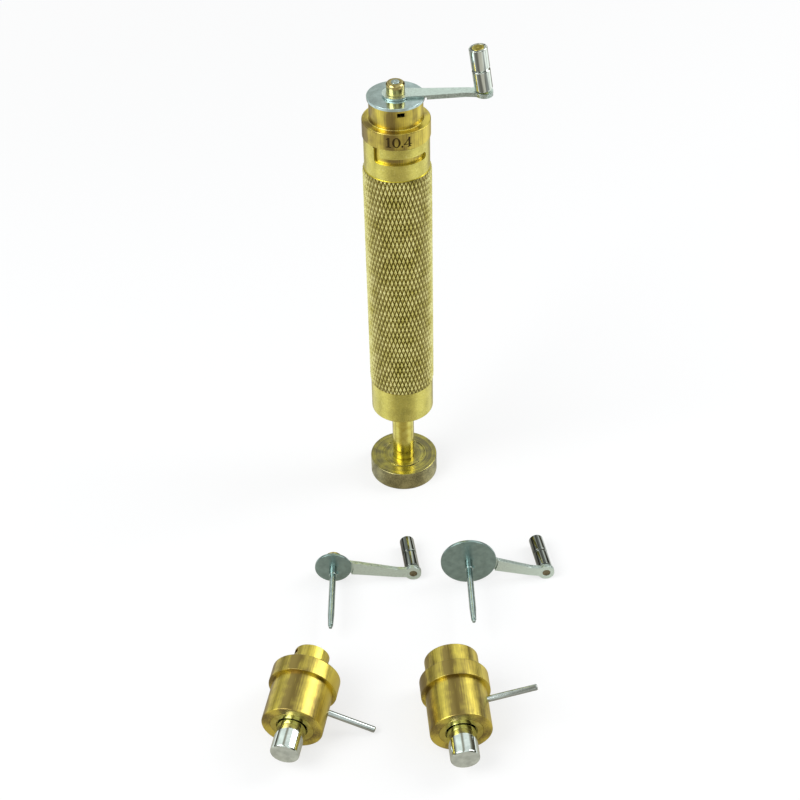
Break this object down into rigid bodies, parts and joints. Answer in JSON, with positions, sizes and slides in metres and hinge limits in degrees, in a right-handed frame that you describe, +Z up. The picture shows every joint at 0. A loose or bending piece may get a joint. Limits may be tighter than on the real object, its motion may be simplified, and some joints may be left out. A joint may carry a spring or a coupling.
{
  "type": "watch mainspring winder",
  "caption": "Hand tool that winds a watch mainspring: knurled brass handle with push knob, bayonet winding head and crank, with spare heads and cranks beside it.",
  "frame": {"origin": "centre of the push knob's flat underside, on which the tool stands", "axes": "+Z up the handle to the crank, +X along the fitted crank's arm, -Y towards the spare cranks and heads"},
  "size_m": [0.0582, 0.1011, 0.1036],
  "materials": {
    "brass_knurled": "diamond knurl with dark hollows",
    "brass_lapped": "satin lapped, lengthwise streaks",
    "brass_plain": "plain turned",
    "brass_satin": "fine turned satin, slightly mottled",
    "brass_turned": "turned rings, matt sides",
    "plated_arm": "plated, with a grainy cut edge",
    "spring_steel": "drawn wire",
    "steel_arbor": "hardened steel, grey",
    "steel_disc": "ground above, grey below",
    "steel_knob": "turned and plated",
    "steel_pin": "drawn steel wire, bright",
    "steel_polished": "mirror polished"
  },
  "bodies": {
    "handle": {"handle_tube": "brass_satin", "end_bush": "brass_plain", "guide_bush": "brass_plain", "return_spring": "spring_steel"},
    "push_rod": {"push_rod": "brass_plain", "push_knob": "brass_turned", "rod_collar": "steel_pin"},
    "main_head": {"main_head_body": "brass_lapped", "main_head_rear_ring": "brass_plain", "main_head_pin": "steel_pin", "main_head_spring": "spring_steel"},
    "main_ejector": {"main_head_plunger": "steel_polished", "main_head_ejector_disc": "steel_pin"},
    "small_head": {"small_head_body": "brass_lapped", "small_head_rear_ring": "brass_plain", "small_head_pin": "steel_pin", "small_head_spring": "spring_steel"},
    "small_ejector": {"small_head_plunger": "steel_polished", "small_head_ejector_disc": "steel_pin"},
    "large_head": {"large_head_body": "brass_lapped", "large_head_rear_ring": "brass_plain", "large_head_pin": "steel_pin", "large_head_spring": "spring_steel"},
    "large_ejector": {"large_head_plunger": "steel_polished", "large_head_ejector_disc": "steel_pin"},
    "main_crank": {"main_crank_arbor": "steel_arbor", "main_crank_disc": "steel_disc", "main_crank_arm": "plated_arm", "main_crank_hub": "brass_plain", "main_crank_axle": "brass_plain"},
    "main_knob": {"main_crank_knob": "steel_knob"},
    "small_crank": {"small_crank_arbor": "steel_arbor", "small_crank_disc": "steel_disc", "small_crank_arm": "plated_arm", "small_crank_hub": "brass_plain", "small_crank_axle": "brass_plain"},
    "small_knob": {"small_crank_knob": "steel_knob"},
    "large_crank": {"large_crank_arbor": "steel_arbor", "large_crank_disc": "steel_disc", "large_crank_arm": "plated_arm", "large_crank_hub": "brass_plain", "large_crank_axle": "brass_plain"},
    "large_knob": {"large_crank_knob": "steel_knob"}
  },
  "joints": [
    {"name": "push_rod_slide", "type": "slide", "parent": "handle", "child": "push_rod", "axis": [0, 0, 1], "range_m": [0, 0.0039], "stiffness_N_per_m": 400, "springref_m": -0.008, "deforming": ["return_spring"]},
    {"name": "main_head_turn", "type": "hinge", "parent": "handle", "child": "main_head", "pos_m": [0, 0, 0.08575], "axis": [0, 0, 1], "range_deg": [-37, 53]},
    {"name": "main_ejector_slide", "type": "slide", "parent": "main_head", "child": "main_ejector", "axis": [0, 0, 1], "range_m": [0, 0.0039], "deforming": ["main_head_spring"]},
    {"name": "main_crank_turn", "type": "hinge", "parent": "main_ejector", "child": "main_crank", "pos_m": [0, 0, 0.0934], "axis": [0, 0, 1], "continuous": true},
    {"name": "main_knob_spin", "type": "hinge", "parent": "main_crank", "child": "main_knob", "pos_m": [0.0166, 0, 0.09402], "axis": [-0.1392, 0, 0.9903], "continuous": true},
    {"name": "small_head_lift", "type": "slide", "parent": "handle", "child": "small_head", "axis": [0, 0, 1], "range_m": [0, 0.06]},
    {"name": "small_ejector_slide", "type": "slide", "parent": "small_head", "child": "small_ejector", "axis": [0.2071, 0.9744, 0.0879], "range_m": [0, 0.0045], "stiffness_N_per_m": 150, "springref_m": -0.004, "deforming": ["small_head_spring"]},
    {"name": "large_head_lift", "type": "slide", "parent": "handle", "child": "large_head", "axis": [0, 0, 1], "range_m": [0, 0.06]},
    {"name": "large_ejector_slide", "type": "slide", "parent": "large_head", "child": "large_ejector", "axis": [-0.0782, 0.9931, 0.0879], "range_m": [0, 0.0042], "stiffness_N_per_m": 150, "springref_m": -0.004, "deforming": ["large_head_spring"]},
    {"name": "small_crank_lift", "type": "slide", "parent": "handle", "child": "small_crank", "axis": [0, 0, 1], "range_m": [0, 0.06]},
    {"name": "small_knob_spin", "type": "hinge", "parent": "small_crank", "child": "small_knob", "pos_m": [0.00128, -0.03437, 0.00175], "axis": [-0.1236, 0.9923, -0.0054], "continuous": true},
    {"name": "large_crank_lift", "type": "slide", "parent": "handle", "child": "large_crank", "axis": [0, 0, 1], "range_m": [0, 0.06]},
    {"name": "large_knob_spin", "type": "hinge", "parent": "large_crank", "child": "large_knob", "pos_m": [0.0288, -0.03504, 0.00175], "axis": [-0.1492, 0.9887, 0.0114], "continuous": true}
  ],
  "couplings": [
    {"joint": "main_ejector_slide", "follows": "push_rod_slide", "ratio": 1}
  ]
}
